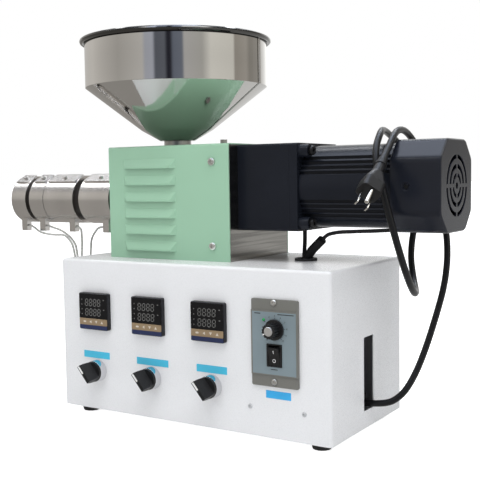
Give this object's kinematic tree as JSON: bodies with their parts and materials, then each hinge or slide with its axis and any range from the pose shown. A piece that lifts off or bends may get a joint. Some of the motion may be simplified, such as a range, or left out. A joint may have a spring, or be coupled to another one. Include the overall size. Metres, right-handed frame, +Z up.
{
  "type": "filament extruder",
  "caption": "Desktop extruder for plastic filament: control cabinet, heated barrel, louvred feed housing, spun hopper and fan-cooled gear motor.",
  "frame": {"origin": "middle of the machine's length and depth without the power cord, at the underside of the feet", "axes": "+X from the nozzle end to the fan end, +Y from the control panel to the back, +Z up"},
  "size_m": [0.692, 0.2736, 0.497],
  "materials": {
    "cabinet_paint": "satin powder coat",
    "foot_rubber": "moulded",
    "controller_plastic": "satin bezel with a clear front",
    "ring_chrome": "polished",
    "knob_plastic": "satin",
    "control_plastic": "fine grain",
    "dial_plastic": "fluted, silver cap",
    "rocker_plastic": "polished",
    "lamp_lens": "clear",
    "housing_paint": "satin powder coat",
    "steel": "machined",
    "heater_steel": "bright rolled",
    "hopper_steel": "polished and spun",
    "motor_paint": "semi-gloss over cast fins",
    "cover_paint": "semi-gloss",
    "cord_rubber": "satin sheath",
    "lead_sheath": "satin sheath",
    "conduit_sleeve": "braided sleeve",
    "heater_lead_braid": "glass fibre braid",
    "blade_metal": "nickel plated"
  },
  "bodies": {
    "machine": {"band_heater_1": "heater_steel", "band_heater_2": "heater_steel", "band_heater_3": "heater_steel", "band_heater_4": "heater_steel", "barrel": "steel", "base_plate": "cabinet_paint", "cabinet": "cabinet_paint", "conduit": "conduit_sleeve", "cord_anchor": "steel", "cord_relief": "cord_rubber", "die_head": "steel", "fan": "motor_paint", "fan_cover": "cover_paint", "fan_lead": "lead_sheath", "feed_block": "steel", "feed_screw": "steel", "foot_back_left": "foot_rubber", "foot_back_right": "foot_rubber", "foot_front_left": "foot_rubber", "foot_front_right": "foot_rubber", "gearbox": "motor_paint", "heater_lead_1": "heater_lead_braid", "heater_lead_2": "heater_lead_braid", "heater_lead_3": "heater_lead_braid", "heater_lead_4": "heater_lead_braid", "hopper": "hopper_steel", "hopper_neck": "steel", "housing_bolt": "steel", "housing_cover": "housing_paint", "indicator_lamp": "lamp_lens", "motor_body": "motor_paint", "motor_flange": "motor_paint", "motor_lead": "lead_sheath", "mounting_plate": "steel", "plug": "cord_rubber", "plug_blade_1": "blade_metal", "plug_blade_2": "blade_metal", "plug_earth_pin": "blade_metal", "power_cord": "cord_rubber", "rocker_frame": "rocker_plastic", "selector_ring_1": "ring_chrome", "selector_ring_2": "ring_chrome", "selector_ring_3": "ring_chrome", "side_grommet": "foot_rubber", "speed_control": "control_plastic", "temperature_controller_1": "controller_plastic", "temperature_controller_2": "controller_plastic", "temperature_controller_3": "controller_plastic", "top_grommet": "foot_rubber"},
    "selector_knob_1": {"selector_knob_1": "knob_plastic"},
    "selector_knob_2": {"selector_knob_2": "knob_plastic"},
    "selector_knob_3": {"selector_knob_3": "knob_plastic"},
    "speed_dial": {"speed_dial": "dial_plastic"},
    "rocker_switch": {"rocker_switch": "rocker_plastic"}
  },
  "joints": [
    {"name": "selector_turn_1", "type": "hinge", "parent": "machine", "child": "selector_knob_1", "pos_m": [-0.0963, -0.10815, 0.0615], "axis": [0, 1, 0], "range_deg": [0, 80]},
    {"name": "selector_turn_2", "type": "hinge", "parent": "machine", "child": "selector_knob_2", "pos_m": [-0.007, -0.10815, 0.0615], "axis": [0, 1, 0], "range_deg": [0, 80]},
    {"name": "selector_turn_3", "type": "hinge", "parent": "machine", "child": "selector_knob_3", "pos_m": [0.084, -0.10815, 0.0615], "axis": [0, 1, 0], "range_deg": [0, 80]},
    {"name": "speed_dial_turn", "type": "hinge", "parent": "machine", "child": "speed_dial", "pos_m": [0.175, -0.10815, 0.138], "axis": [0, 1, 0], "range_deg": [-20, 260]},
    {"name": "rocker_tilt", "type": "hinge", "parent": "machine", "child": "rocker_switch", "pos_m": [0.1742, -0.10955, 0.1081], "axis": [-1, 0, 0], "range_deg": [0, 20]}
  ]
}
